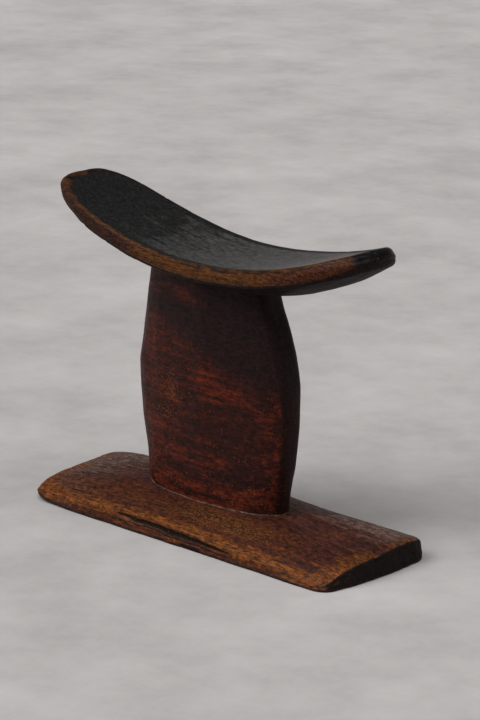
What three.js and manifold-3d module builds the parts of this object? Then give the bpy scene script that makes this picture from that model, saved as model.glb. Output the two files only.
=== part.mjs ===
// A carved wooden headrest: a curved neck rest on a flat, bellied pillar that stands on a low base board.
// Three pieces of wood, joined by a stub tenon at each end of the pillar.
// Millimetres. +Z is up and +X runs along the length. The pieces are drawn about the saddle's lowest point,
// which is at X 0, and the finished group is moved so that its origin is the middle of its footprint.

import * as THREE from 'three';
import { mergeVertices } from 'three/addons/utils/BufferGeometryUtils.js';
import Module from 'manifold-3d';

// ---- Driving dimensions ----

const base = {
  leftReach: 121, // from the saddle's lowest point to the left end's back corner
  rightReach: 106, // and to the right end's front corner
  leftSkew: 11, // how much shorter the board is at the left end's front corner
  rightSkew: 3, // and at the right end's back corner
  width: 78,
  cornerCut: { frontLeft: 15, frontRight: 12, backRight: 13, backLeft: 24 },
  wallHeight: 10.5, // top of the side wall, where the crowned upper face begins
  crownHeight: 16.8, // thickness under the pillar
  wallLean: 1, // how far the side wall draws in on its way up
  topRounding: 4,
  bottomRounding: 1,
  crownPower: 2.4, // a higher power keeps the crown flatter in the middle
  cornerPoints: 8,
  arcSteps: 4,
  crownSteps: 7,
};

// The pillar leans a little: each level has its own middle, measured along X from the saddle.
const pillar = {
  foot: { middle: -7.5, length: 92, thickness: 31 },
  belly: { middle: -7.5, length: 107, thickness: 31 },
  neck: { middle: -9.5, length: 79, thickness: 27 },
  bellyHeight: 76, // height of the widest section above the floor
  sectionPower: 2.9, // 2 is an ellipse, and higher is squarer
  sectionPoints: 60,
  levels: 16,
};

const neckRest = {
  width: 60,
  saddleHeight: 144.5, // the lips' lowest point above the floor, at X 0
  // Reach and rise are the tip's. A higher fullness holds the width nearer to the tip, and a higher rounding
  // squares the tip: 2 is an ellipse's end. The sweep is how the lips rise along the length: 2 is a parabola.
  left: { reach: 109.5, rise: 26.8, fullness: 4.2, rounding: 3.3, sweep: 1.85 },
  right: { reach: 101, rise: 19.6, fullness: 5, rounding: 2.3, sweep: 2.05 },
  edgeHeight: 8, // height of the side band, square to the curve
  keelDepth: 8.5, // how far the underside swells below the band
  keelFullness: 3.5, // how late the keel fades towards the tips
  dish: 1.2, // how far the upper face is hollowed between its lips
  lipRounding: 1.6,
  edgeRounding: 1.4,
  noseFullness: 14, // how late the edge thins towards its tips
  stations: 44,
  topPoints: 9,
  bottomPoints: 13,
};

const joint = {
  footTenon: { length: 58, thickness: 16, depth: 9 },
  neckTenon: { length: 46, thickness: 13, depth: 6 },
  cornerRadius: 4,
  sideClearance: 0.3,
  endClearance: 0.5, // room for glue beyond the tenon's end
  shoulderGap: 0.3, // between a pillar's shoulder and the face it seats on
};

const wood = {
  neckRest: { color: 0x2b2522, roughness: 0.45 },
  pillar: { color: 0x4a1f14, roughness: 0.5 },
  base: { color: 0x6b4022, roughness: 0.65 },
};

// ---- Solids ----

const wasm = await Module();
wasm.setup();

function toSolid(geometry) {
  const bare = geometry.clone().deleteAttribute('normal').deleteAttribute('uv');
  const merged = mergeVertices(bare);
  return new wasm.Manifold(new wasm.Mesh({
    numProp: 3,
    vertProperties: merged.attributes.position.array,
    triVerts: new Uint32Array(merged.index.array),
  }));
}

function toMesh(name, solid, finish) {
  const { numProp, vertProperties, triVerts } = solid.getMesh();
  const geometry = new THREE.BufferGeometry();
  geometry.setAttribute('position', new THREE.BufferAttribute(vertProperties, numProp));
  geometry.setIndex(new THREE.BufferAttribute(triVerts, 1));
  geometry.computeVertexNormals();
  const mesh = new THREE.Mesh(geometry, new THREE.MeshStandardMaterial({ ...finish, metalness: 0 }));
  mesh.name = name;
  return mesh;
}

// A closed skin over rings of equal length, each anticlockwise as seen from the last ring.
function loft(rings) {
  const count = rings[0].length;
  const points = rings.flat();
  const triangles = [];
  for (let ring = 0; ring + 1 < rings.length; ring++) {
    for (let i = 0; i < count; i++) {
      const a = ring * count + i;
      const b = ring * count + (i + 1) % count;
      triangles.push(a, b, b + count, a, b + count, a + count);
    }
  }
  const first = points.push(middleOf(rings[0])) - 1;
  const last = points.push(middleOf(rings.at(-1))) - 1;
  const lastRing = (rings.length - 1) * count;
  for (let i = 0; i < count; i++) {
    const next = (i + 1) % count;
    triangles.push(first, next, i, last, lastRing + i, lastRing + next);
  }
  const geometry = new THREE.BufferGeometry().setFromPoints(points);
  geometry.setIndex(triangles);
  return geometry;
}

function middleOf(ring) {
  const middle = ring.reduce((sum, point) => sum.add(point), new THREE.Vector3());
  return middle.divideScalar(ring.length);
}

// ---- Base ----

// The four-cornered outline with its corners rounded. It runs anticlockwise as seen from above.
function baseOutline() {
  const { leftReach, rightReach, leftSkew, rightSkew, width, cornerCut } = base;
  const corners = [
    { at: new THREE.Vector2(leftSkew - leftReach, -width / 2), cut: cornerCut.frontLeft },
    { at: new THREE.Vector2(rightReach, -width / 2), cut: cornerCut.frontRight },
    { at: new THREE.Vector2(rightReach - rightSkew, width / 2), cut: cornerCut.backRight },
    { at: new THREE.Vector2(-leftReach, width / 2), cut: cornerCut.backLeft },
  ];
  const shape = new THREE.Shape();
  corners.forEach(({ at, cut }, i) => {
    const towards = (other) => other.at.clone().sub(at).setLength(cut).add(at);
    const start = towards(corners[(i + 3) % 4]);
    const end = towards(corners[(i + 1) % 4]);
    if (i === 0) shape.moveTo(start.x, start.y);
    else shape.lineTo(start.x, start.y);
    shape.quadraticCurveTo(at.x, at.y, end.x, end.y);
  });
  shape.closePath();
  return shape.getPoints(base.cornerPoints).slice(0, -1);
}

function baseSolid() {
  const outline = baseOutline();
  const extent = new THREE.Box2().setFromPoints(outline);
  const half = extent.getSize(new THREE.Vector2()).divideScalar(2);
  const middle = extent.getCenter(new THREE.Vector2());
  const rings = [];
  const ring = (inset, height, share = 1) => {
    const scaleX = (1 - inset / half.x) * share;
    const scaleY = (1 - inset / half.y) * share;
    rings.push(outline.map((p) => new THREE.Vector3(
      middle.x + (p.x - middle.x) * scaleX,
      middle.y + (p.y - middle.y) * scaleY,
      height,
    )));
  };
  for (let i = 0; i <= base.arcSteps; i++) {
    const angle = (i / base.arcSteps) * (Math.PI / 2);
    ring(base.bottomRounding * (1 - Math.sin(angle)), base.bottomRounding * (1 - Math.cos(angle)));
  }
  for (let i = 0; i <= base.arcSteps; i++) {
    const angle = (i / base.arcSteps) * (Math.PI / 2);
    ring(
      base.wallLean + base.topRounding * (1 - Math.cos(angle)),
      base.wallHeight - base.topRounding * (1 - Math.sin(angle)),
    );
  }
  const rise = base.crownHeight - base.wallHeight;
  for (let i = 1; i < base.crownSteps; i++) {
    const share = 1 - i / base.crownSteps;
    ring(base.wallLean + base.topRounding, base.wallHeight + rise * (1 - share ** base.crownPower), share);
  }
  return toSolid(loft(rings));
}

// ---- Neck rest ----

// One cross-section as [across, level] pairs, anticlockwise as seen from +X. The lips are at level 0.
// A share below 1 thins the section towards the middle of its edge, as the tips do.
function neckRestSection(halfWidth, keel, share) {
  const lip = Math.min(neckRest.lipRounding, halfWidth / 2);
  const arris = Math.min(neckRest.edgeRounding, halfWidth / 2);
  const hump = (across) => 1 - (across / halfWidth) ** 2;
  const right = [];
  const arc = (radius, level, from) => {
    for (let i = 0; i <= 2; i++) {
      const angle = from + (i / 2) * (Math.PI / 2);
      right.push([halfWidth - radius + radius * Math.cos(angle), level + radius * Math.sin(angle)]);
    }
  };
  arc(arris, -neckRest.edgeHeight + arris - keel * hump(halfWidth - arris), -Math.PI / 2);
  arc(lip, -lip, 0);
  const left = right.map(([across, level]) => [-across, level]).reverse();
  const spread = (count, reach) => (
    Array.from({ length: count }, (_, i) => reach * (1 - (2 * (i + 1)) / (count + 1)))
  );
  const top = spread(neckRest.topPoints, halfWidth - lip)
    .map((across) => [across, -neckRest.dish * hump(across)]);
  const bottom = spread(neckRest.bottomPoints, halfWidth - arris)
    .map((across) => [-across, -neckRest.edgeHeight - keel * hump(across)]);
  const middle = -neckRest.edgeHeight / 2;
  return [...bottom, ...right, ...top, ...left]
    .map(([across, level]) => [across, middle + (level - middle) * share]);
}

function neckRestSolid() {
  const rings = [];
  const tipMargin = 0.002; // keeps the first and last sections from closing to a line
  for (let i = 0; i <= neckRest.stations; i++) {
    const along = (1 - tipMargin) * Math.sin(Math.PI * (i / neckRest.stations - 0.5));
    const side = along < 0 ? neckRest.left : neckRest.right;
    const x = along * side.reach;
    const height = neckRest.saddleHeight + side.rise * Math.abs(along) ** side.sweep;
    const steepness = side.sweep * side.rise * Math.abs(along) ** (side.sweep - 1) / side.reach;
    const slope = Math.sign(along) * steepness;
    const normal = new THREE.Vector2(-slope, 1).normalize();
    const plan = (1 - Math.abs(along) ** side.fullness) ** (1 / side.rounding);
    const share = (1 - Math.abs(along) ** neckRest.noseFullness) ** (1 / 2);
    const keel = neckRest.keelDepth * (1 - Math.abs(along) ** neckRest.keelFullness);
    const section = neckRestSection((neckRest.width / 2) * plan, keel, share);
    rings.push(section.map(([across, level]) => new THREE.Vector3(
      x + normal.x * level,
      across,
      height + normal.y * level,
    )));
  }
  return toSolid(loft(rings));
}

// ---- Pillar ----

function pillarSection(middle, halfLength, halfThickness, height) {
  const ring = [];
  const bend = (value) => Math.sign(value) * Math.abs(value) ** (2 / pillar.sectionPower);
  for (let i = 0; i < pillar.sectionPoints; i++) {
    const angle = (2 * Math.PI * i) / pillar.sectionPoints;
    ring.push(new THREE.Vector3(
      middle + halfLength * bend(Math.cos(angle)),
      halfThickness * bend(Math.sin(angle)),
      height,
    ));
  }
  return ring;
}

// A smooth line through the foot, belly and neck values of one measure, over the height of the pillar.
function pillarProfile(measure, footLevel, neckLevel) {
  return new THREE.SplineCurve([
    new THREE.Vector2(pillar.foot[measure], footLevel),
    new THREE.Vector2(pillar.belly[measure], pillar.bellyHeight),
    new THREE.Vector2(pillar.neck[measure], neckLevel),
  ]);
}

function pillarBody(footLevel, neckLevel) {
  const middle = pillarProfile('middle', footLevel, neckLevel);
  const length = pillarProfile('length', footLevel, neckLevel);
  const thickness = pillarProfile('thickness', footLevel, neckLevel);
  const rings = [];
  for (let i = 0; i <= pillar.levels; i++) {
    const t = i / pillar.levels;
    const level = length.getPoint(t).y;
    const halfLength = length.getPoint(t).x / 2;
    const halfThickness = thickness.getPoint(t).x / 2;
    rings.push(pillarSection(middle.getPoint(t).x, halfLength, halfThickness, level));
  }
  return toSolid(loft(rings));
}

// A rounded stub between two heights, about a middle along X, grown sideways by clearance.
function tenonSolid(tenon, middle, bottom, top, clearance = 0) {
  const x = tenon.length / 2 + clearance;
  const y = tenon.thickness / 2 + clearance;
  const r = joint.cornerRadius + clearance;
  const outline = new THREE.Shape();
  outline.absarc(x - r, y - r, r, 0, Math.PI / 2);
  outline.absarc(r - x, y - r, r, Math.PI / 2, Math.PI);
  outline.absarc(r - x, r - y, r, Math.PI, 1.5 * Math.PI);
  outline.absarc(x - r, r - y, r, 1.5 * Math.PI, 2 * Math.PI);
  outline.closePath();
  const options = { depth: top - bottom, bevelEnabled: false, curveSegments: 4 };
  const stub = new THREE.ExtrudeGeometry(outline, options);
  stub.translate(middle, 0, bottom);
  return toSolid(stub);
}

// ---- Assembly ----

const neckThickness = neckRest.edgeHeight + neckRest.keelDepth;
const undersideHeight = neckRest.saddleHeight - neckThickness; // the keel's lowest point
const footTenonEnd = base.crownHeight - joint.footTenon.depth;
const neckTenonEnd = undersideHeight + joint.neckTenon.depth;
const { foot, neck, bellyHeight } = pillar;
const { footTenon, neckTenon, sideClearance, endClearance, shoulderGap } = joint;

const baseBlank = baseSolid();
const neckRestBlank = neckRestSolid();

// The pillar is cut long, scribed to the crowned base and the curved underside, and then given its tenons.
const pillarScribed = pillarBody(base.wallHeight, undersideHeight + neckThickness / 2)
  .subtract(baseBlank.translate([0, 0, shoulderGap]))
  .subtract(neckRestBlank.translate([0, 0, -shoulderGap]))
  .add(tenonSolid(footTenon, foot.middle, footTenonEnd, bellyHeight))
  .add(tenonSolid(neckTenon, neck.middle, bellyHeight, neckTenonEnd));
const baseMortised = baseBlank
  .subtract(tenonSolid(footTenon, foot.middle, footTenonEnd - endClearance, bellyHeight, sideClearance));
const neckRestMortised = neckRestBlank
  .subtract(tenonSolid(neckTenon, neck.middle, bellyHeight, neckTenonEnd + endClearance, sideClearance));

const headrest = new THREE.Group();
headrest.add(
  toMesh('base', baseMortised, wood.base),
  toMesh('pillar', pillarScribed, wood.pillar),
  toMesh('neck_rest', neckRestMortised, wood.neckRest),
);

// The origin is the middle of the whole object's footprint, on the floor.
const box = new THREE.Box3().setFromObject(headrest);
headrest.position.set(-(box.min.x + box.max.x) / 2, -(box.min.y + box.max.y) / 2, -box.min.z);

export default headrest;
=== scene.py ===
"""A carved wooden headrest: a curved neck rest on a flat, bellied pillar that stands on a low base board.

Each piece of wood is built as a fine mesh in its CAD solid's place, with the carver's facets, worn edges,
cuts and splits in the mesh itself. Lengths are in metres. +X runs along the length, -Y is the front, and +Z
is up.
"""

import math
from collections import namedtuple

import bpy
import numpy as np
from mathutils import Color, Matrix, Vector, noise
from mathutils.bvhtree import BVHTree


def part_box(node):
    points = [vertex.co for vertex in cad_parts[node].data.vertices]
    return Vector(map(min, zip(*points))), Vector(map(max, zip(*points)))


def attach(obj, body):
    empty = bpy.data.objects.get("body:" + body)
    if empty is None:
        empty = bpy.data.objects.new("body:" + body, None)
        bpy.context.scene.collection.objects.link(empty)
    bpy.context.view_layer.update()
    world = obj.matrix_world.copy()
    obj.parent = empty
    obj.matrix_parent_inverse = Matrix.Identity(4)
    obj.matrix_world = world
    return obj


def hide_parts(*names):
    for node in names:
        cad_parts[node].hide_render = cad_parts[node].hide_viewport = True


bl_info = {
    "name": "Carved wooden headrest",
    "version": (1, 0, 0),
    "blender": (4, 5, 0),
    "location": "3D View > Sidebar > Headrest",
    "description": "Builds a hand-carved wooden headrest and its studio around a packed CAD part",
    "category": "Add Mesh",
}

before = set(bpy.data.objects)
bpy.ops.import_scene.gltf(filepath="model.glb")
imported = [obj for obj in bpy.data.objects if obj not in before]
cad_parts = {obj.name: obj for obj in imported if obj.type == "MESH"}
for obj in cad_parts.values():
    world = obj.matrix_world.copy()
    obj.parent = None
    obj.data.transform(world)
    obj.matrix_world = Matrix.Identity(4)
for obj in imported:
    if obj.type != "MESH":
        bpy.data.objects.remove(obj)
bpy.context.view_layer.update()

BASE_LOW, BASE_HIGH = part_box("base")
REST_LOW, REST_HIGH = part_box("neck_rest")
SADDLE_X = REST_LOW.x + 0.5216 * (REST_HIGH.x - REST_LOW.x)  # where the neck rest's curve is lowest
BODY = "root"  # nothing moves, so there is one body
MM = 0.001


# ---- Small tools ----


def linear(hex_colour):
    """An sRGB hex colour as linear red, green and blue."""
    channels = [int(hex_colour[i:i + 2], 16) / 255 for i in (1, 3, 5)]
    return [c / 12.92 if c <= 0.04045 else ((c + 0.055) / 1.055) ** 2.4 for c in channels]


def smoothstep(low, high, value):
    """0 at low, 1 at high, and a smooth rise between them. It stays at 0 before low and at 1 past high."""
    t = np.clip((value - low) / (high - low), 0, 1)
    return t * t * (3 - 2 * t)


def bumps(points, size, seed):
    """Smooth noise from about -1 to 1, one bump to each size, which is one length or three."""
    scaled = np.asarray(points) / np.asarray(size) + seed
    return np.array([noise.noise(p) for p in scaled.tolist()])


def evenly(outline, count):
    """A closed outline resampled at count even steps along its length."""
    closed = np.vstack([outline, outline[:1]])
    run = np.concatenate([[0], np.cumsum(np.linalg.norm(np.diff(closed, axis=0), axis=1))])
    steps = np.linspace(0, run[-1], count, endpoint=False)
    return np.stack([np.interp(steps, run, closed[:, i]) for i in (0, 1)], axis=1)


def outward(outline):
    """The outward unit normals of an anticlockwise outline."""
    along = np.roll(outline, -1, axis=0) - np.roll(outline, 1, axis=0)
    normal = np.stack([along[:, 1], -along[:, 0]], axis=1)
    return normal / np.linalg.norm(normal, axis=1, keepdims=True)


def smooth_line(x, knots):
    """A smooth curve through (x, y) knots: a monotone cubic, flat at its turning points."""
    kx, ky = np.array(knots).T
    step = np.diff(kx)
    slope = np.diff(ky) / step
    tangent = np.concatenate([[slope[0]], np.zeros(len(kx) - 2), [slope[-1]]])
    for i in range(1, len(kx) - 1):
        if slope[i - 1] * slope[i] > 0:
            tangent[i] = 2 * slope[i - 1] * slope[i] / (slope[i - 1] + slope[i])
    x = np.clip(x, kx[0], kx[-1])
    i = np.clip(np.searchsorted(kx, x) - 1, 0, len(kx) - 2)
    t = (x - kx[i]) / step[i]
    rise = ky[i] * (1 + 2 * t) * (1 - t) ** 2 + ky[i + 1] * t * t * (3 - 2 * t)
    return rise + step[i] * (tangent[i] * t * (1 - t) ** 2 + tangent[i + 1] * t * t * (t - 1))


def skin(name, rings):
    """A closed mesh over equal rings, with a fan about its middle at each end.

    A ring runs anticlockwise as seen from the last ring's side.
    """
    count = rings.shape[1]
    ends = [rings[0].mean(axis=0), rings[-1].mean(axis=0)]
    points = np.vstack([rings.reshape(-1, 3), ends])
    first, last = len(points) - 2, len(points) - 1
    top = (len(rings) - 1) * count
    faces = []
    for ring in range(len(rings) - 1):
        for i in range(count):
            a, b = ring * count + i, ring * count + (i + 1) % count
            faces.append((a, b, b + count, a + count))
    for i in range(count):
        after = (i + 1) % count
        faces.append((first, after, i))
        faces.append((last, top + i, top + after))
    mesh = bpy.data.meshes.new(name)
    mesh.from_pydata(points.tolist(), [], faces)
    mesh.validate()
    mesh.polygons.foreach_set("use_smooth", [True] * len(mesh.polygons))
    piece = bpy.data.objects.new(name, mesh)
    bpy.context.scene.collection.objects.link(piece)
    return piece


def corners(piece):
    """The positions and normals of a piece's vertices."""
    count = len(piece.data.vertices)
    position, normal = np.zeros(count * 3), np.zeros(count * 3)
    piece.data.vertices.foreach_get("co", position)
    piece.data.vertices.foreach_get("normal", normal)
    return position.reshape(-1, 3), normal.reshape(-1, 3)


def carve(piece, depth):
    """Moves each vertex in along its normal by a depth."""
    position, normal = corners(piece)
    piece.data.vertices.foreach_set("co", (position - normal * depth[:, None]).ravel())
    piece.data.update()


def mark(piece, name, values):
    """Stores a number from 0 to 1 on each vertex, which a material reads by name."""
    layer = piece.data.attributes.new(name, "FLOAT", "POINT")
    layer.data.foreach_set("value", np.clip(values, 0, 1).astype(np.float32))


def solid(piece):
    """A piece's surface, ready for rays."""
    mesh = piece.data
    return BVHTree.FromPolygons([v.co for v in mesh.vertices], [p.vertices for p in mesh.polygons])


def height_of(surface, x, y, start, direction):
    """The height at which a vertical ray from start meets a surface."""
    hit = surface.ray_cast(Vector((x, y, start)), Vector((0, 0, direction)))[0]
    if hit is None:
        raise RuntimeError(f"no surface at {x:.4f}, {y:.4f}")
    return hit.z


def place(piece, node_name):
    """Fixes a finished piece to the body and lets it stand for its CAD node."""
    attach(piece, BODY)
    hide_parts(node_name)


# ---- Materials ----


def paint(colour):
    """A hex colour, or one from the settings, with full opacity."""
    return (*(linear(colour) if isinstance(colour, str) else colour), 1)


def add(tree, kind, values=None, output=0):
    """Adds a node and returns one of its outputs.

    values holds its properties and inputs by name or number. A socket is linked, a hex string is a colour,
    and anything else is set as it is.
    """
    made = tree.nodes.new(kind)
    for name, value in (values or {}).items():
        if name == "stops":
            while len(made.color_ramp.elements) < len(value):
                made.color_ramp.elements.new(1)
            for element, (position, colour) in zip(made.color_ramp.elements, value):
                element.position = position
                element.color = paint(colour)
        elif isinstance(name, str) and hasattr(made, name):
            setattr(made, name, value)
        elif isinstance(value, bpy.types.NodeSocket):
            tree.links.new(value, made.inputs[name])
        elif isinstance(value, (str, Color)):
            made.inputs[name].default_value = paint(value)
        else:
            made.inputs[name].default_value = value
    return made.outputs[output] if made.outputs else None


def new_material(name):
    """An empty material, with its node tree and the object's own coordinates, in metres."""
    material = bpy.data.materials.new(name)
    material.use_nodes = True
    material.node_tree.nodes.clear()
    return material, material.node_tree, add(material.node_tree, "ShaderNodeTexCoord", output="Object")


RANGE, MIX, MATH = "ShaderNodeMapRange", "ShaderNodeMix", "ShaderNodeMath"
MAPPING, NOISE, RAMP = "ShaderNodeMapping", "ShaderNodeTexNoise", "ShaderNodeValToRGB"
ATTRIBUTE, NUMBER = "ShaderNodeAttribute", 2  # and the attribute's output as one number
COLOUR = 2  # the colour output of a Mix node

# What wear, handling, painted light and painted shade laid over the wood: the mark on the mesh that leads
# it, how ragged its edge is, the most that it covers, its darkest and lightest colour, its roughness, and
# how far its raggedness follows the grain.
Layer = namedtuple("Layer", "mark ragged most dark light roughness fibrous", defaults=[0.5])


def worn_wood(name, look):
    """Hardwood worked with a blade, rubbed with oil and darkened by smoke and hands. Its grain runs along X.

    look holds the colours of the heart, from dark to light, the layers over it, and how strongly the mottle,
    pores, specks and cuts show. Every pattern's scale is one over its real size.
    """
    material, tree, place_in = new_material(name)
    tilt = look["tilt"]
    # Growth rings cut along the board: bands 3 mm wide that run for about 60 mm.
    drawn = add(tree, MAPPING, {"Vector": place_in, "Rotation": tilt, "Scale": (0.05, 1, 1)})
    grain = add(tree, NOISE, {"Vector": drawn, "Scale": 1 / (3 * MM), "Detail": 6.0, "Roughness": 0.62})
    # Fibre: lines 0.5 mm wide. Real fibre is finer, and this is as fine as shows.
    fibre = add(tree, NOISE, {"Vector": drawn, "Scale": 1 / (0.5 * MM), "Detail": 3.0, "Roughness": 0.7})
    # Stain and handling leave soft patches about 25 mm across, broken up by blotches of 5 mm.
    patch = add(tree, NOISE, {"Vector": place_in, "Scale": 1 / (25 * MM), "Detail": 4.0, "Roughness": 0.6})
    blotch = add(tree, NOISE, {"Vector": place_in, "Scale": 1 / (5 * MM), "Detail": 5.0, "Roughness": 0.65})
    tone = add(tree, MIX, {"data_type": "FLOAT", 0: look["patchiness"], 2: grain, 3: patch})
    colour = add(tree, RAMP, {"Fac": tone, "stops": look["heart"]})
    smoothest, roughest = look["roughness"]
    rough = add(tree, RANGE, {0: blotch, 1: 0.3, 2: 0.7, 3: smoothest, 4: roughest})
    for layer in look["layers"]:
        led_by = add(tree, ATTRIBUTE, {"attribute_name": layer.mark}, NUMBER)
        ragged = add(tree, MIX, {"data_type": "FLOAT", 0: layer.fibrous, 2: blotch, 3: grain})
        reach = layer.ragged / 2
        broken = add(tree, RANGE, {0: ragged, 1: 0.34, 2: 0.66, 3: -reach, 4: reach})
        spread = add(tree, MATH, {"operation": "ADD", 0: broken, 1: led_by})
        amount = add(tree, RANGE, {0: spread, 1: 0.3, 2: 0.75, 4: layer.most})
        streak = add(tree, RANGE, {0: fibre, 1: 0.35, 2: 0.65})
        tint = add(tree, MIX, {"data_type": "RGBA", 0: streak, 6: layer.dark, 7: layer.light}, COLOUR)
        colour = add(tree, MIX, {"data_type": "RGBA", 0: amount, 6: colour, 7: tint}, COLOUR)
        rough = add(tree, MIX, {"data_type": "FLOAT", 0: amount, 2: rough, 3: layer.roughness})
    # Oil and dirt sink in unevenly: a mottle of dots 1.6 mm wide, drawn out to twice that along the grain.
    stretched = add(tree, MAPPING, {"Vector": place_in, "Rotation": tilt, "Scale": (0.5, 1, 1)})
    dabs = add(tree, NOISE, {"Vector": stretched, "Scale": 1 / (1.6 * MM), "Detail": 3.0, "Roughness": 0.7})
    deepen = add(tree, RANGE, {0: dabs, 1: 0.42, 2: 0.62, 4: look["mottle"]})
    darker = {"data_type": "RGBA", "blend_type": "MULTIPLY", 0: deepen, 6: colour, 7: "#6b5a50"}
    colour = add(tree, MIX, darker, COLOUR)
    # Open pores show as dark dashes, about 0.9 mm wide and 13 mm long, which is coarser than real ones.
    dashed = add(tree, MAPPING, {"Vector": place_in, "Rotation": tilt, "Scale": (0.07, 1, 1)})
    pores = add(tree, NOISE, {"Vector": dashed, "Scale": 1 / (0.9 * MM), "Detail": 2.0, "Roughness": 0.5})
    pore = add(tree, RANGE, {0: pores, 1: 0.6, 2: 0.72, 4: look["pores"]})
    colour = add(tree, MIX, {"data_type": "RGBA", 0: pore, 6: colour, 7: look["pore"]}, COLOUR)
    # Grains of pale dirt and bare fibre, about 0.75 mm across and nearly twice as long.
    flecked = add(tree, MAPPING, {"Vector": place_in, "Rotation": tilt, "Scale": (0.6, 1, 1)})
    dots = add(tree, NOISE, {"Vector": flecked, "Scale": 1 / (0.75 * MM), "Detail": 2.0, "Roughness": 0.6})
    where = add(tree, ATTRIBUTE, {"attribute_name": "specks"}, NUMBER)
    dotted = add(tree, MATH, {"operation": "MULTIPLY_ADD", 0: where, 1: 0.22, 2: dots})
    speck = add(tree, RANGE, {0: dotted, 1: 0.7, 2: 0.86, 4: look["specks"]})
    colour = add(tree, MIX, {"data_type": "RGBA", 0: speck, 6: colour, 7: look["speck"]}, COLOUR)
    # The fibre stands up and the pores lie deeper, by a few tenths of a millimetre.
    fine_height = add(tree, MIX, {"data_type": "FLOAT", 0: 0.5, 2: fibre, 3: blotch})
    height = add(tree, MATH, {"operation": "MULTIPLY_ADD", 0: pore, 1: -0.6, 2: fine_height})
    bump = add(tree, "ShaderNodeBump", {"Strength": look["relief"], "Distance": 0.4 * MM, "Height": height})
    surface = add(tree, "ShaderNodeBsdfPrincipled", {
        "Base Color": colour, "Roughness": rough, "Normal": bump, "IOR": 1.5,
        "Specular IOR Level": look["gloss"],
    })
    add(tree, "ShaderNodeOutputMaterial", {"Surface": surface})
    return material


# ---- The base board ----


def rounded(corner_list, steps=24):
    """An anticlockwise outline through (x, y, cut) corners, each rounded over its cut."""
    points = []
    for i, (x, y, cut) in enumerate(corner_list):
        at = np.array([x, y])
        before = np.array(corner_list[i - 1][:2])
        after = np.array(corner_list[(i + 1) % len(corner_list)][:2])
        start = at + (before - at) * cut / np.linalg.norm(before - at)
        end = at + (after - at) * cut / np.linalg.norm(after - at)
        t = np.linspace(0, 1, steps)[:, None]
        points.append((1 - t) ** 2 * start + 2 * t * (1 - t) * at + t * t * end)
    return np.vstack(points)


def board(outline, middle, under, top, arris, lip, draw_in, counts):
    """Rings over a board, from the middle of its underside out, up its edge and in over its top.

    under and top give heights at (x, y) points. arris and lip round the lower and upper edge, draw_in gives
    how far the edge stands in at a share of its height, and counts holds the rings of the five zones:
    underside, arris, edge, lip and top. Each ring's place comes back too: 0 to 1 below, 1 to 2 up the edge
    and 2 to 3 above.
    """
    out = outward(outline)
    step = 0.5 * MM  # over which a slope is measured
    centre = 0.02  # the innermost ring's share of the outline
    thinnest = 0.1 * MM  # the least height of the edge
    rings, zones = [], []

    def ring(flat, heights, zone):
        rings.append(np.column_stack([flat, heights]))
        zones.append(zone)

    def slope(height, edge):
        return (height(edge) - height(edge - out * step)) / step

    turn = np.arctan(slope(under, outline - out * arris[:, None])) - math.pi / 2
    inset = arris * (1 - np.cos(turn)) + draw_in(0.0)
    inner = outline - out * inset[:, None]
    for share in np.linspace(centre, 1, counts[0], endpoint=False):
        flat = middle + (inner - middle) * share
        ring(flat, under(flat), share)
    low_centre = under(inner) - arris * np.sin(turn)
    for t in np.linspace(1, 0, counts[1]):
        inset = arris * (1 - np.cos(turn * t)) + draw_in(0.0)
        ring(outline - out * inset[:, None], low_centre + arris * np.sin(turn * t), 1.0)
    rest = math.pi / 2 + np.arctan(slope(top, outline - out * lip[:, None]))
    inset = lip * (1 - np.cos(rest)) + draw_in(1.0)
    inner = outline - out * inset[:, None]
    high_centre = top(inner) - lip * np.sin(rest)
    high_centre = np.maximum(high_centre, low_centre + thinnest)
    for t in np.linspace(0, 1, counts[2] + 2)[1:-1]:
        ring(outline - out * draw_in(t), low_centre + (high_centre - low_centre) * t, 1 + t)
    for t in np.linspace(0, 1, counts[3]):
        inset = lip * (1 - np.cos(rest * t)) + draw_in(1.0)
        ring(outline - out * inset[:, None], high_centre + lip * np.sin(rest * t), 2.0)
    for share in np.linspace(1, centre, counts[4] + 1)[1:]:
        flat = middle + (inner - middle) * share
        ring(flat, top(flat), 3 - share)
    return np.array(rings), np.array(zones)


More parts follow.
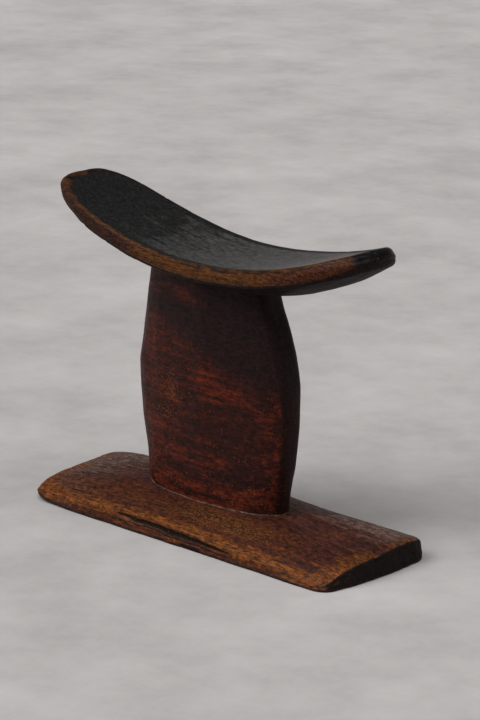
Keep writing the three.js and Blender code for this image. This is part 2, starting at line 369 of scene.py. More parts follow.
def build_base(settings):
    """The base board: crowned, hand-split and uneven, with a long crack in front and a chopped right end."""
    around = 840
    rings_per_zone = (12, 5, 24, 9, 52)
    front_y, back_y = BASE_LOW.y - 0.3 * MM, BASE_HIGH.y
    corner_list = [  # x, y and how much of the corner is cut
        (BASE_LOW.x + 7.6 * MM, front_y, 15 * MM),
        (BASE_HIGH.x - 1.5 * MM, front_y, 10 * MM),
        (BASE_HIGH.x + 2.0 * MM, 0.1 * BASE_LOW.y, 22 * MM),
        (BASE_HIGH.x - 2.0 * MM, back_y, 13 * MM),
        (BASE_LOW.x - 3.2 * MM, back_y, 24 * MM),
    ]
    outline = evenly(rounded(corner_list), around)
    wander = bumps(np.column_stack([outline, np.zeros(len(outline))]), 22 * MM, 3.7)
    outline = outline - outward(outline) * (0.45 * MM * (1 + wander))[:, None]
    half_width = BASE_HIGH.y
    wall = 4 * MM  # how far in from the box the crown begins
    # The edge's height along the front and along the back, in mm, as (x, height).
    front_height = [(-110, 7.4), (-84, 7.8), (-60, 8.8), (0, 10.2), (40, 8.6), (68, 7.6), (112, 6.5)]
    back_height = [(-112, 11.4), (-60, 10.6), (0, 11.6), (50, 10.2), (80, 10.6), (112, 12.0)]

    def edge_height(flat):
        """The height of the upper edge, carried across the board, with a hump at the right end."""
        x, across = flat[:, 0] / MM, (flat[:, 1] / half_width + 1) / 2
        height = smooth_line(x, front_height) * (1 - across) + smooth_line(x, back_height) * across
        hump = 4 * across * (1 - across)
        height += 2.4 * hump * smoothstep(80, 108, x)
        return height * MM

    def top(flat):
        ahead = np.abs(flat[:, 1]) / (half_width - wall)
        aside = np.abs(flat[:, 0]) / (BASE_HIGH.x - wall)
        share = np.clip((ahead ** 5 + aside ** 7) ** 0.2, 0, 1.15)
        edge = edge_height(flat)
        return edge + (settings.crown - edge) * (1 - share ** 2.4)

    def flat_bottom(flat):
        return np.zeros(len(flat))

    right_end = smoothstep(96 * MM, 108 * MM, outline[:, 0])
    left_end = 1 - smoothstep(-104 * MM, -66 * MM, outline[:, 0])
    arris = (1.1 + 3.1 * left_end) * MM
    lip = (3.6 - 1.6 * right_end) * MM
    rings, zones = board(
        outline, np.zeros(2), flat_bottom, top, arris, lip, lambda t: 1.0 * MM * t, rings_per_zone)
    piece = skin("base_board", rings)
    position, normal = corners(piece)
    zone = np.append(np.repeat(zones, around), [0, 3])
    x, _, z = position.T
    side = smoothstep(1.0, 1.1, zone) * (1 - smoothstep(2.0, 2.06, zone))
    upper = smoothstep(1.0, 1.3, zone)

    # Adze hollows on the top, each about 18 by 9 mm, and a fine unevenness all over.
    depth = 0.28 * MM * bumps(position, (18 * MM, 9 * MM, 9 * MM), 11.3)
    depth += 0.14 * MM * bumps(position, (6 * MM, 3 * MM, 3 * MM), 4.1)
    depth += 0.07 * MM * bumps(position, (2.2 * MM, 1.1 * MM, 1.1 * MM), 8.6)
    # The chopped right end: upright ribs about 4 mm apart and deep bites along its top edge.
    end = smoothstep(0.35, 0.8, normal[:, 0]) * smoothstep(80 * MM, 100 * MM, x) * (zone > 1)
    ribs = bumps(position, (30 * MM, 4.2 * MM, 14 * MM), 2.9)
    depth += end * MM * (0.55 * ribs + 0.35 * bumps(position, 2.4 * MM, 6.2))
    bites = np.maximum(0, bumps(position, (9 * MM, 7 * MM, 30 * MM), 15.8) - 0.1)
    depth += MM * 2.2 * bites * smoothstep(100 * MM, 108 * MM, x) * smoothstep(1.5, 2.0, zone)
    # The long crack in the front edge, which opens in the middle, and a finer one beside it.
    front_face = smoothstep(0.5, 0.9, -normal[:, 1])
    wave = 0.5 * bumps(np.column_stack([x, 0 * x, 0 * x]), 9 * MM, 5.5)
    along = x / MM
    middle_line = np.interp(along, [-36, 36], [7.3, 4.9]) + wave
    # Half the crack's height, in mm, along its length.
    gape = np.interp(along, [-38, -35, -24, 4, 22, 36, 52], [0, 0.8, 1.5, 1.6, 1.0, 0.7, 0])
    crack = front_face * np.exp(-((z / MM - middle_line) / np.maximum(gape, 0.01)) ** 2) * (gape > 0.01)
    depth += settings.crack * crack * np.clip(gape, 0, 1)
    hairline = front_face * np.exp(-((z / MM - middle_line + 2.2 - wave) / 0.35) ** 2)
    hairline *= smoothstep(-34, -20, along) * (1 - smoothstep(30, 60, along))
    depth += 0.5 * MM * hairline
    # A short undercut below the crack.
    undercut = front_face * smoothstep(9, 12, along) * (1 - smoothstep(22, 26, along))
    undercut *= 1 - smoothstep(1.5, 2.8, z / MM)
    depth += 0.8 * MM * undercut
    depth *= smoothstep(0.9, 1.0, zone)
    carve(piece, depth)

    # Nothing dips below the floor.
    position, _ = corners(piece)
    position[:, 2] = np.maximum(position[:, 2], 0)
    piece.data.vertices.foreach_set("co", position.ravel())
    piece.data.update()
    mark_base(piece, zone, side, upper, end)
    mark(piece, "split", np.maximum(np.maximum(crack, hairline * 0.8), undercut))
    piece.data.materials.append(base_wood(settings))
    return piece


def mark_base(piece, zone, side, upper, end):
    """Where the base board is worn, dusty, sooty or dark, and where light and shade are painted on it, by
    each vertex's zone, place and end.
    """
    position, _ = corners(piece)
    x, y, z = position.T
    # Wear is strongest where the surface turns over the upper edge.
    turned = 1 - np.abs(zone - 2.0) / 0.16
    grooves = 0.5 * bumps(position, (60 * MM, 3 * MM, 1.3 * MM), 6.6)
    worn = 0.9 * np.clip(turned, 0, 1) + side * (0.34 + grooves)
    mark(piece, "edge", worn * (1 - 0.85 * np.clip(end, 0, 1)) * (1 - 0.5 * (y > 0)))
    mark(piece, "front", smoothstep(5 * MM, -38 * MM, y) * (1 - smoothstep(70 * MM, 112 * MM, x)) * upper)
    # The back of the top and its left end are painted paler: partly dust, partly painted light from the
    # upper left.
    dust_and_painted_light_left = 0.72 * smoothstep(-30 * MM, -100 * MM, x)
    mark(piece, "dusty", np.maximum(smoothstep(-5 * MM, 34 * MM, y), dust_and_painted_light_left) * upper)
    # The faces of the right end are painted near black: partly soot, partly painted shade on faces turned
    # from the light. sooty darkens the top near that end.
    sooty = 0.45 * smoothstep(88 * MM, 110 * MM, x) * smoothstep(-34 * MM, -16 * MM, y)
    mark(piece, "end", np.maximum(end, sooty))
    # Pale grains lie thickest in a strip in front of the pillar.
    strip = smoothstep(-12 * MM, -20 * MM, y) * (1 - smoothstep(-27 * MM, -33 * MM, y))
    strip *= smoothstep(-30 * MM, 10 * MM, x) * (1 - smoothstep(50 * MM, 80 * MM, x))
    mark(piece, "specks", (0.35 * smoothstep(14 * MM, -24 * MM, y) + 0.5 * strip) * upper)
    # A painted contact shade: the lowest 2 mm of the edge is painted darker where the board meets the floor.
    mark(piece, "below", 1 - smoothstep(0.2 * MM, 2.2 * MM, z))


def base_wood(settings):
    # A dense hardwood board, split and adzed, then oiled and handled: dull red-brown on top, with rubbed
    # edges that glow orange where the finish is gone, dust and painted light that pale the back and the left
    # end of the top, soot and painted shade on the chopped end, and a painted contact shade along the foot.
    return worn_wood("adzed_hardwood_base", {
        "tilt": (0, 0, 0.03), "patchiness": 0.45,
        "heart": [(0.3, "#220f0a"), (0.5, settings.heart), (0.72, "#6a3820")],
        "roughness": (0.45, 0.68), "gloss": 0.14, "relief": 0.7, "mottle": 0.85,
        "pores": 0.8, "pore": "#120905", "specks": 0.8, "speck": "#6d4c1e",
        "layers": [
            Layer("dusty", 0.9, 0.9, "#46342f", "#866d63", 0.75),
            Layer("front", 1.1, 0.75, "#2c1106", "#62300f", 0.6),
            Layer("edge", 1.1, 0.95, "#35200f", settings.worn, 0.55),
            # end: soot and painted shade on the right end.
            Layer("end", 0.5, 0.97, "#0a0605", "#1d130e", 0.75),
            # below: painted contact shade along the foot.
            Layer("below", 0.5, 0.7, "#120a06", "#2c190d", 0.7),
            Layer("split", 0.3, 1.0, "#0c0908", "#1a1513", 0.85),
        ],
    })


# ---- The neck rest ----


def build_neck_rest(settings):
    """The neck rest: a bent board with a blunt band round its edge and a keel that swells below."""
    reach = (settings.left_reach, settings.right_reach)
    rise = (settings.left_rise, settings.right_rise)
    fullness, rounding, sweep = (4.2, 5.0), (3.3, 2.3), (1.84, 2.05)
    half_width = REST_HIGH.y
    around = 760
    rings_per_zone = (38, 6, 16, 9, 46)

    def side(u, pair):
        """The left or the right value, by which side of the saddle u is on."""
        return np.where(u < 0, pair[0], pair[1])

    def width_at(u):
        full = np.clip(1 - np.abs(u / side(u, reach)) ** side(u, fullness), 0, 1)
        return half_width * full ** (1 / side(u, rounding))

    turn = np.linspace(-math.pi / 2, math.pi / 2, 1500)
    u = np.sin(turn) * side(turn, reach)
    half = np.column_stack([u, width_at(u)])
    outline = np.vstack([half * (1, -1), half[::-1][1:-1]])
    outline = evenly(outline, around)
    out = outward(outline)
    wander = bumps(np.column_stack([outline, np.zeros(len(outline))]), 16 * MM, 21.4)
    outline = outline - out * (0.3 * MM * (1 + wander))[:, None]
    u = outline[:, 0]
    along = np.abs(u / side(u, reach))
    near_tip = smoothstep(0.82, 1.0, along)

    def band(u):
        """The height of the edge, from (u, height) in mm."""
        return smooth_line(u / MM, [(-109, 5.3), (-70, 7.6), (0, 8.2), (60, 8.8), (100, 9.2)]) * MM

    def under(flat):
        u, v = flat.T
        ends = np.clip(1 - np.abs(u / side(u, reach)) ** 3.5, 0, 1)
        across = np.clip(v / np.maximum(width_at(u), MM), -1, 1)
        return -band(u) - settings.keel * ends * (1 - np.abs(across) ** 2)

    def top(flat):
        u, v = flat.T
        across = np.clip(v / np.maximum(width_at(u), MM), -1, 1)
        return -settings.dish * (1 - across ** 2) * np.clip(1 - np.abs(u / side(u, reach)) ** 6, 0, 1)

    arris = (1.6 + 2.2 * near_tip) * MM
    lip = (1.5 + 2.6 * near_tip * np.where(u < 0, 0.5, 1)) * MM
    middle = np.array([-4.5 * MM, 0])
    rings, zones = board(
        outline, middle, under, top, arris, lip, lambda t: 0.5 * MM * (2 * t - 1) ** 2, rings_per_zone)
    # The flat board is bent: each point keeps its distance from the curve of the lips, square to it.
    flat = rings.reshape(-1, 3)
    u, v, w = flat.T
    share = np.abs(u / side(u, reach))
    slope = np.sign(u) * side(u, sweep) * side(u, rise) * share ** (side(u, sweep) - 1) / side(u, reach)
    length = np.sqrt(1 + slope ** 2)
    saddle = settings.saddle + side(u, rise) * share ** side(u, sweep)
    bent = np.column_stack([SADDLE_X + u - slope / length * w, v, saddle + w / length])
    piece = skin("neck_board", bent.reshape(rings.shape))

    position, _ = corners(piece)
    zone = np.append(np.repeat(zones, around), [0, 3])
    u = np.append(u, [middle[0]] * 2)
    edge = smoothstep(0.98, 1.1, zone) * (1 - smoothstep(1.96, 2.02, zone))
    below = zone <= 1.0
    above = zone >= 2.0
    # Knife facets under the board, each about 20 by 8 mm, and a rubbed, almost even top.
    depth = np.where(below, 0.35, 0.0) * MM * bumps(position, (20 * MM, 8 * MM, 8 * MM), 7.7)
    depth += np.where(below, 0.12, 0.05) * MM * bumps(position, (7 * MM, 3 * MM, 3 * MM), 1.9)
    depth += np.where(above, 0.16, 0.0) * MM * bumps(position, (34 * MM, 14 * MM, 30 * MM), 13.2)
    # The band's surface is pitted and its corners are knocked in a few places.
    depth += edge * MM * 0.14 * bumps(position, (5 * MM, 2 * MM, 2 * MM), 9.4)
    nicks = np.maximum(0, bumps(position, (6 * MM, 5 * MM, 3 * MM), 17.5) - 0.35)
    corner = np.exp(-((zone - 2.0) / 0.05) ** 2) + np.exp(-((zone - 1.0) / 0.05) ** 2)
    depth += MM * 1.4 * nicks * np.clip(corner, 0, 1)
    carve(piece, depth)
    mark_rest(piece, zone, edge, u / -settings.left_reach, u / settings.right_reach)
    piece.data.materials.append(rest_wood(settings))
    return piece


def mark_rest(piece, zone, edge, reach_left, reach_right):
    """Where the neck rest is burnished, rubbed or dark, and where its top is painted paler towards the right
    tip as a painted sheen. Each reach is 0 at the saddle and 1 at its tip.
    """
    position, _ = corners(piece)
    y = position[:, 1]
    mark(piece, "top", smoothstep(1.99, 2.05, zone))
    # Lengthwise scuffs on the top, short and broad or long and fine.
    scuffs = 0.5 * bumps(position, (9 * MM, 3 * MM, 9 * MM), 31.7)
    scuffs += 0.4 * bumps(position, (26 * MM, 1.5 * MM, 26 * MM), 8.8)
    inner = smoothstep(2.03, 2.2, zone)
    # The top is painted paler towards the right tip: a painted sheen for the reflection there, broken by the
    # scuffs.
    mark(piece, "sheen", inner * (0.85 * smoothstep(-0.85, 0.2, reach_right) + 0.08 + 0.45 * scuffs))
    # Near the right tip the top is painted paler still: partly rubbed wood, partly a painted sheen.
    mark(piece, "rubbed", inner * smoothstep(0.15, 0.8, reach_right) * (0.65 + 0.3 * scuffs))
    rubbed_lip = 0.3 * np.exp(-((zone - 2.0) / 0.04) ** 2)
    mark(piece, "band", (edge + rubbed_lip) * (1 - 0.6 * smoothstep(-6 * MM, 12 * MM, y)))
    left_half = smoothstep(0.2, 0.5, reach_left) * (1 - smoothstep(0.9, 0.98, reach_left))
    mark(piece, "left_band", edge * left_half)
    mark(piece, "right_band", edge * smoothstep(0.35, 0.75, reach_right))
    mark(piece, "tip", smoothstep(0.9, 0.96, reach_right) * smoothstep(-19 * MM, -9 * MM, y) * (zone > 1.0))
    mark(piece, "under", 1 - smoothstep(0.96, 1.06, zone))
    mark(piece, "specks", edge * 0.6)


def rest_wood(settings):
    # The same hardwood, blackened by smoke and hair oil and burnished by use: a satin black top, painted
    # paler towards the right tip as a painted sheen, and a band round the edge where knocks have rubbed the
    # finish back to orange-brown wood.
    return worn_wood("smoke_blackened_hardwood", {
        "tilt": (0, 0, 0.0), "patchiness": 0.5,
        "heart": [(0.3, "#151010"), (0.5, "#1e1414"), (0.75, "#2c1a14")],
        "roughness": (0.36, 0.52), "gloss": 0.1, "relief": 0.4, "mottle": 0.7,
        "pores": 0.5, "pore": "#0b0807", "specks": 0.5, "speck": "#7a4f26",
        "layers": [
            Layer("top", 0.2, 1.0, "#0a0a0a", settings.top, 0.44),
            Layer("sheen", 0.45, 0.9, "#2a2a2a", "#535251", 0.36),
            # rubbed: partly wear, partly a painted sheen towards the right tip.
            Layer("rubbed", 0.4, 0.8, "#454240", "#7a726c", 0.4),
            Layer("band", 0.8, 0.95, "#2e1b0d", settings.band, 0.5),
            Layer("left_band", 0.8, 0.9, "#1a0d0c", "#38201b", 0.5),
            Layer("right_band", 0.7, 0.8, "#200e0b", "#52271b", 0.45),
            Layer("tip", 0.4, 1.0, "#060606", "#101010", 0.45),
            Layer("under", 0.6, 0.9, "#0e0908", "#2a1c16", 0.6),
        ],
    })


# ---- The pillar ----


def soft_section(left, right, front, flat_end, count):
    """A cross-section with knife-cut facets whose ridges are softened, as count even (x, y) steps.

    It reaches from left to right, is twice front thick, and its narrow ends are flat for twice flat_end.
    """
    middle, half = (left + right) / 2, (right - left) / 2
    facets = [(0, half), (math.pi, half)]
    for toward in (-1, 1):
        for across in (-1, 1):
            # Each facet turns from the front by some degrees, and passes through a point.
            for degrees, x, y in ((5, 0, front), (14, 0.55 * half, 0.9 * front), (32, half, flat_end)):
                sine, cosine = math.sin(math.radians(degrees)), math.cos(math.radians(degrees))
                facets.append((math.atan2(toward * cosine, across * sine), x * sine + y * cosine))
    angles = np.linspace(0, 2 * math.pi, 2400, endpoint=False)
    sharpness = 26  # of the ridges between facets
    total = sum(np.maximum(0, np.cos(angles - facing) / away) ** sharpness for facing, away in facets)
    radius = total ** (-1 / sharpness)
    outline = np.column_stack([middle + radius * np.cos(angles), radius * np.sin(angles)])
    return evenly(outline, count)


def build_pillar(settings):
    """The pillar: a flat, bellied block with broad facets, scribed to the boards below and above it."""
    base = solid(bpy.data.objects["base_board"])
    rest = solid(bpy.data.objects["neck_board"])
    around = 420
    # How far each face stands from the saddle or the middle plane at a height, in mm, as (height, distance).
    left_line = [
        (10, -53.9), (35, -56.0), (55, -58.9), (76, -60.6), (80, -60.5), (90, -58.1), (110, -54.1),
        (140, -48.2)]
    right_line = [
        (10, 38.6), (25, 40.2), (45, 43.8), (70, 45.7), (80, 45.7), (95, 43.3), (110, 38.0), (120, 33.5),
        (140, 28)]
    front_line = [(10, 15.5), (76, 15.5), (140, 13.4)]
    end_line = [(10, 4.4), (40, 5.2), (76, 6.2), (140, 7.6)]
    lines = (left_line, right_line, front_line, end_line)
    levels = np.linspace(10, 140, 53)
    stack = np.array([
        soft_section(*(smooth_line(level, line) * MM for line in lines), around) for level in levels])
    stack[:, :, 0] += SADDLE_X

    def column(heights):
        """The (x, y) points of the section at one height for each column."""
        place_in = np.clip((heights / MM - levels[0]) / (levels[1] - levels[0]), 0, len(levels) - 1.001)
        low = place_in.astype(int)
        t = (place_in - low)[:, None]
        index = np.arange(around)
        return stack[low, index] * (1 - t) + stack[low + 1, index] * t

    # The ends follow the boards, and are let into them by a quarter of a millimetre, so that no light shows.
    sunk = 0.25 * MM
    waist = 60 * MM  # a height between the two boards
    foot, neck = np.full(around, 16 * MM), np.full(around, 130 * MM)
    for _ in range(3):
        foot = np.array([height_of(base, x, y, waist, -1) for x, y in column(foot)]) - sunk
        neck = np.array([height_of(rest, x, y, waist, 1) for x, y in column(neck)]) + sunk
    shares = np.concatenate([
        np.linspace(0, 0.03, 10)[:-1], np.linspace(0.03, 0.97, 158), np.linspace(0.97, 1, 8)[1:]])
    rings = []
    for share in shares:
        heights = foot + share * (neck - foot)
        rings.append(np.column_stack([column(heights), heights]))
    rings = np.array(rings)
    piece = skin("pillar_block", rings)
    position, _ = corners(piece)
    share = np.append(np.repeat(shares, around), [0, 1])
    ends = smoothstep(0, 0.02, share) * (1 - smoothstep(0.98, 1, share))
    # Long knife strokes down the faces, about 9 mm wide, with a finer unevenness over them.
    depth = 0.34 * MM * bumps(position, (12 * MM, 9 * MM, 24 * MM), 3.3)
    depth += 0.13 * MM * bumps(position, (5 * MM, 4 * MM, 6 * MM), 12.7)
    depth += 0.05 * MM * bumps(position, 1.6 * MM, 5.2)
    carve(piece, depth * ends)
    mark_pillar(piece, share)
    piece.data.materials.append(pillar_wood(settings))
    return piece


def mark_pillar(piece, share):
    """Where the pillar is red, smoky, dusty or flecked, and where shade and light are painted on it, by each
    vertex's place and share of the height.
    """
    position, normal = corners(piece)
    x, y, z = position.T
    along = (x - SADDLE_X) / MM
    high = z / MM
    # The narrow end facets are painted dark: partly patina, partly painted shade. Higher up the dark reaches
    # further round the facets, as a painted shadow under the neck rest.
    painted_shadow_lean = 0.3 * smoothstep(50, 118, high) - 0.1
    mark(piece, "narrow", smoothstep(0.48, 0.8, np.abs(normal[:, 0]) + painted_shadow_lean))
    # A band of redder wood falls to the right across the middle, and the foot is red too. Above the band and
    # in one patch below it the wood is dark. Above the band this is partly smoke and partly a painted shadow
    # of the neck rest, which leaves the top left lighter. The line is the band's upper edge, in mm.
    line = smooth_line(along, [(-60, 106), (-29, 99), (-12, 90), (16, 80), (44, 74)])
    above = high - line
    patch = np.exp(-((along - 12) / 16) ** 2 - ((high - 54) / 8) ** 2)
    streak = np.exp(-((above + 4) / 9) ** 2) * (0.28 + 0.3 * np.exp(-((along - 2) / 14) ** 2))
    top_left = smoothstep(112, 121, high) * smoothstep(10, -20, along)
    mottled = 0.35 * bumps(position, (16 * MM, 10 * MM, 6 * MM), 27.5)
    foot_red = 0.38 * smoothstep(72, 36, high)
    mark(piece, "red", streak + foot_red + 0.45 * top_left + mottled)
    # The smoke mark is smoke-dark wood and a painted shadow under the neck rest, deepest to the right.
    mark(piece, "smoke", smoothstep(-6, 20, above) * (1 - 0.6 * top_left) + 0.55 * patch)
    mark(piece, "dust", 1 - smoothstep(0.004, 0.012, share))
    # The upper front left facets are painted paler: a painted highlight where the light from the left falls.
    front_left = smoothstep(-0.3, -0.45, normal[:, 0]) * (y < 0) * (along < 0)
    mark(piece, "bevel", smoothstep(66, 112, high) * front_left)
    flecks = 0.25 + 0.4 * np.exp(-((along + 30) / 18) ** 2 - ((high - 66) / 22) ** 2)
    flecks += 0.2 * smoothstep(45, 25, high) + 0.5 * bumps(position, (14 * MM, 10 * MM, 7 * MM), 44.1)
    mark(piece, "specks", flecks * (1 - smoothstep(2, 14, above)))


def pillar_wood(settings):
    # Reddish heartwood cut across its broad faces with a knife and rubbed with oil: deep red-brown with a
    # warmer streak, smoke-dark at the top and on its narrow ends, with painted shade there that deepens to
    # the top right under the neck rest, a painted highlight on the upper left facets, and pale dust caught
    # along the foot.
    return worn_wood("oiled_red_heartwood", {
        "tilt": (0, 0.3, 0), "patchiness": 0.45,
        "heart": [(0.3, "#1c0a08"), (0.5, settings.heart), (0.72, "#5a2212")],
        "roughness": (0.38, 0.55), "gloss": 0.13, "relief": 0.55, "mottle": 0.8,
        "pores": 0.6, "pore": "#100605", "specks": 0.7, "speck": "#854318",
        "layers": [
            Layer("red", 0.9, 0.85, "#48140a", settings.red, 0.42, fibrous=0.8),
            # smoke: partly smoke, partly a painted shadow under the neck rest.
            Layer("smoke", 0.9, 0.85, "#130809", "#281415", 0.48),
            Layer("narrow", 0.7, 0.85, "#100807", "#28120e", 0.5),
            Layer("bevel", 0.4, 0.85, "#36262a", "#5c443c", 0.5),
            Layer("dust", 0.4, 1.0, "#54483d", "#877a69", 0.8),
        ],
    })


# ---- The stage ----


def build_stage(settings):
    """A round, pale floor that curves up to a low rim far away, soft lights and the camera."""
    around = 96
    # The floor's profile, as (distance from the middle, height). Its rim curves up at a radius of a metre.
    profile = [(0.5, 0), (1.2, 0), (settings.floor, 0)]
    for angle in np.linspace(0.15, 1.4, 10):
        profile.append((settings.floor + math.sin(angle), 1 - math.cos(angle)))
    turns = np.linspace(0, 2 * math.pi, around, endpoint=False)
    points = [(0, 0, 0)]
    points += [(run * math.cos(turn), run * math.sin(turn), up) for run, up in profile for turn in turns]
    faces = [(0, 1 + i, 1 + (i + 1) % around) for i in range(around)]
    for ring in range(len(profile) - 1):
        for i in range(around):
            a, b = 1 + ring * around + i, 1 + ring * around + (i + 1) % around
            faces.append((a, a + around, b + around, b))
    mesh = bpy.data.meshes.new("floor")
    mesh.from_pydata(points, [], faces)
    mesh.polygons.foreach_set("use_smooth", [True] * len(mesh.polygons))
    floor = bpy.data.objects.new("floor", mesh)
    bpy.context.scene.collection.objects.link(floor)
    floor.data.materials.append(floor_paint(settings))

    away = Vector((-math.sin(settings.azimuth), math.cos(settings.azimuth), 0))
    along = Vector((away.y, -away.x, 0))
    # Each light's direction from the object, how many degrees it spans, and its strength.
    for name, toward, span, strength in (
            ("key", away * -0.4 - along * 1.1 + Vector((0, 0, 1.12)), 37, settings.key),
            ("fill", away * -1.1 + along * 0.9 + Vector((0, 0, 0.72)), 41, settings.fill),
            ("top", away * -0.35 + Vector((0, 0, 1.42)), 48, settings.overhead)):
        light = bpy.data.lights.new(name, "SUN")
        light.angle, light.energy = math.radians(span), strength
        light.color = (1.0, 0.995, 0.99)
        lamp = bpy.data.objects.new(name, light)
        lamp.location = toward
        lamp.rotation_euler = toward.to_track_quat("Z", "Y").to_euler()
        bpy.context.scene.collection.objects.link(lamp)

    world = bpy.data.worlds.new("studio")
    world.use_nodes = True
    background = world.node_tree.nodes["Background"]
    background.inputs["Color"].default_value = (*linear("#dddcdb"), 1)
    background.inputs["Strength"].default_value = settings.ambient
    bpy.context.scene.world = world
    bpy.context.scene.view_settings.view_transform = "Standard"

    lens = bpy.data.cameras.new("camera")
    lens.lens, lens.sensor_width = 160, 36
    camera = bpy.data.objects.new("camera", lens)
    back = Vector((math.sin(settings.azimuth) * math.cos(settings.elevation),
                   -math.cos(settings.azimuth) * math.cos(settings.elevation), math.sin(settings.elevation)))
    camera.location = Vector(settings.aim) + back * settings.distance
    camera.rotation_euler = back.to_track_quat("Z", "Y").to_euler()
    bpy.context.scene.collection.objects.link(camera)
    bpy.context.scene.camera = camera


def floor_paint(settings):
    # A floor painted with a matt, light grey paint, with faint, cloudy stains about 90 mm across.
    material, tree, place_in = new_material("matt_painted_floor")
    cloud = add(tree, NOISE, {"Vector": place_in, "Scale": 1 / (90 * MM), "Detail": 8.0, "Roughness": 0.7})
    stops = [(0.3, settings.floor_stains), (0.7, settings.floor_paint)]
    colour = add(tree, RAMP, {"Fac": cloud, "stops": stops})
    surface = add(tree, "ShaderNodeBsdfPrincipled", {
        "Base Color": colour, "Roughness": 0.85, "Specular IOR Level": 0.2})
    add(tree, "ShaderNodeOutputMaterial", {"Surface": surface})
    return material


# ---- The add-on ----


def length_setting(name, description, default):
    """A length that a user may change, in metres."""
    return bpy.props.FloatProperty(
        name=name, description=description, default=default, unit="LENGTH", precision=4)


def colour_setting(name, description, default):
    """A colour that a user may change."""
    return bpy.props.FloatVectorProperty(
        name=name, description=description, default=linear(default), subtype="COLOR", size=3, min=0, max=1)


def strength_setting(name, description, default):
    """A light's strength that a user may change."""
    return bpy.props.FloatProperty(name=name, description=description, default=default)


def angle_setting(name, description, default):
    """An angle that a user may change, in radians."""
    return bpy.props.FloatProperty(name=name, description=description, default=default, unit="ROTATION")


class BaseSettings(bpy.types.PropertyGroup):
    """Sizes and colours of the base board."""

    crown: length_setting("Thickness", "Thickness of the board under the pillar", BASE_HIGH.z + 0.3 * MM)
    crack: length_setting("Crack depth", "Depth of the long crack in the front edge", 1.5 * MM)
    heart: colour_setting("Heart", "Colour of the oiled top", "#45211a")
    worn: colour_setting("Worn edge", "Colour where the edges are rubbed bare", "#8f4d16")


class NeckRestSettings(bpy.types.PropertyGroup):
    """Sizes and colours of the neck rest."""

    saddle: length_setting("Saddle height", "Height of the lips' lowest point above the floor", 144.5 * MM)
    left_reach: length_setting("Left reach", "Length from the lowest point to the left tip", 109.5 * MM)
    right_reach: length_setting("Right reach", "Length from the lowest point to the right tip", 101 * MM)
    left_rise: length_setting("Left rise", "Rise of the lips to the left tip", 26.8 * MM)
    right_rise: length_setting("Right rise", "Rise of the lips to the right tip", 19.6 * MM)
    keel: length_setting("Keel", "How far the underside swells below the band", 8.4 * MM)
    dish: length_setting("Dish", "How far the top is hollowed between its lips", 1.2 * MM)
    top: colour_setting("Top", "Colour of the smoke-blackened top", "#262626")
    band: colour_setting("Band", "Colour of the band round the edge", "#6c401a")


class PillarSettings(bpy.types.PropertyGroup):
    """Colours of the pillar."""

    heart: colour_setting("Heart", "Colour of the oiled heartwood", "#33110b")
    red: colour_setting("Streak", "Colour of the redder streak", "#7f3012")


class StageSettings(bpy.types.PropertyGroup):
    """The floor, lights and camera."""

    floor: length_setting("Floor", "Distance from the middle at which the floor curves up", 3.0)
    floor_paint: colour_setting("Floor paint", "Colour of the painted floor", "#b2afae")
    floor_stains: colour_setting("Floor stains", "Colour of the floor's faint stains", "#9a9695")
    key: strength_setting("Key light", "Strength of the upper left light", 2.12)
    fill: strength_setting("Fill light", "Strength of the right light", 0.31)
    overhead: strength_setting("Top light", "Strength of the light above", 1.86)
    ambient: strength_setting("Ambient", "Strength of the light all round", 0.17)
    azimuth: angle_setting("Azimuth", "Camera's turn from the front", math.radians(45.1))
    elevation: angle_setting("Elevation", "Camera's height angle", math.radians(15.5))
    distance: length_setting("Distance", "Distance from the camera to its aim", 1.6013)
    aim: bpy.props.FloatVectorProperty(
        name="Aim", description="Point that the camera looks at", default=(0.0143, 0.0, 0.0906),
        unit="LENGTH")


class HEADREST_OT_base(bpy.types.Operator):
    """Builds the base board"""

    bl_idname = "headrest.base"
    bl_label = "Base board"

    def execute(self, context):
        place(build_base(context.scene.headrest_base), "base")
        return {"FINISHED"}


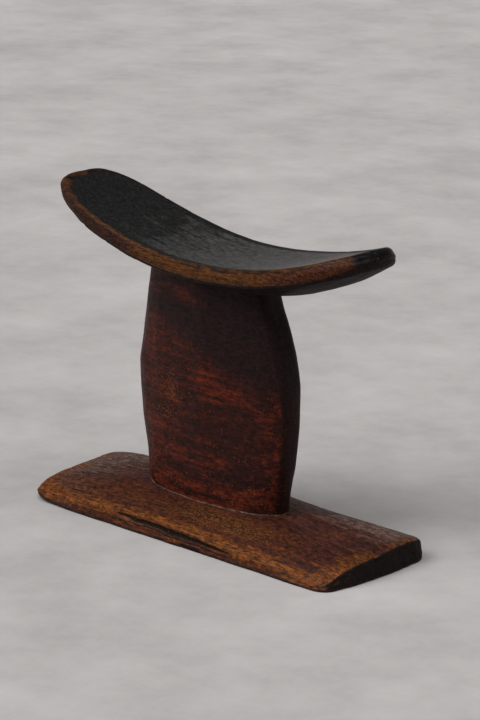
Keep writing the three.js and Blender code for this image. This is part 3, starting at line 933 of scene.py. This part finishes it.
class HEADREST_OT_neck_rest(bpy.types.Operator):
    """Builds the neck rest"""

    bl_idname = "headrest.neck_rest"
    bl_label = "Neck rest"

    def execute(self, context):
        place(build_neck_rest(context.scene.headrest_neck_rest), "neck_rest")
        return {"FINISHED"}


class HEADREST_OT_pillar(bpy.types.Operator):
    """Builds the pillar between the two boards"""

    bl_idname = "headrest.pillar"
    bl_label = "Pillar"

    def execute(self, context):
        place(build_pillar(context.scene.headrest_pillar), "pillar")
        return {"FINISHED"}


class HEADREST_OT_stage(bpy.types.Operator):
    """Builds the floor, the lights and the camera"""

    bl_idname = "headrest.stage"
    bl_label = "Stage"

    def execute(self, context):
        build_stage(context.scene.headrest_stage)
        return {"FINISHED"}


class HEADREST_PT_panel(bpy.types.Panel):
    """Lists the steps and their settings"""

    bl_idname = "HEADREST_PT_panel"
    bl_label = "Carved headrest"
    bl_space_type = "VIEW_3D"
    bl_region_type = "UI"
    bl_category = "Headrest"

    def draw(self, context):
        for operator, group in STEPS:
            box = self.layout.box()
            settings = getattr(context.scene, group)
            for name in settings.bl_rna.properties.keys():
                if name not in ("rna_type", "name"):
                    box.prop(settings, name)
            box.operator(operator)


STEPS = [
    ("headrest.base", "headrest_base"), ("headrest.neck_rest", "headrest_neck_rest"),
    ("headrest.pillar", "headrest_pillar"), ("headrest.stage", "headrest_stage"),
]
GROUPS = {
    "headrest_base": BaseSettings, "headrest_neck_rest": NeckRestSettings,
    "headrest_pillar": PillarSettings, "headrest_stage": StageSettings,
}
CLASSES = [
    *GROUPS.values(), HEADREST_OT_base, HEADREST_OT_neck_rest, HEADREST_OT_pillar, HEADREST_OT_stage,
    HEADREST_PT_panel,
]


def register():
    for made in CLASSES:
        bpy.utils.register_class(made)
    for name, group in GROUPS.items():
        setattr(bpy.types.Scene, name, bpy.props.PointerProperty(type=group))


def unregister():
    for name in GROUPS:
        delattr(bpy.types.Scene, name)
    for made in reversed(CLASSES):
        bpy.utils.unregister_class(made)


def main():
    register()
    bpy.ops.headrest.base()
    bpy.ops.headrest.neck_rest()
    bpy.ops.headrest.pillar()
    bpy.ops.headrest.stage()


if __name__ == "__main__":
    main()
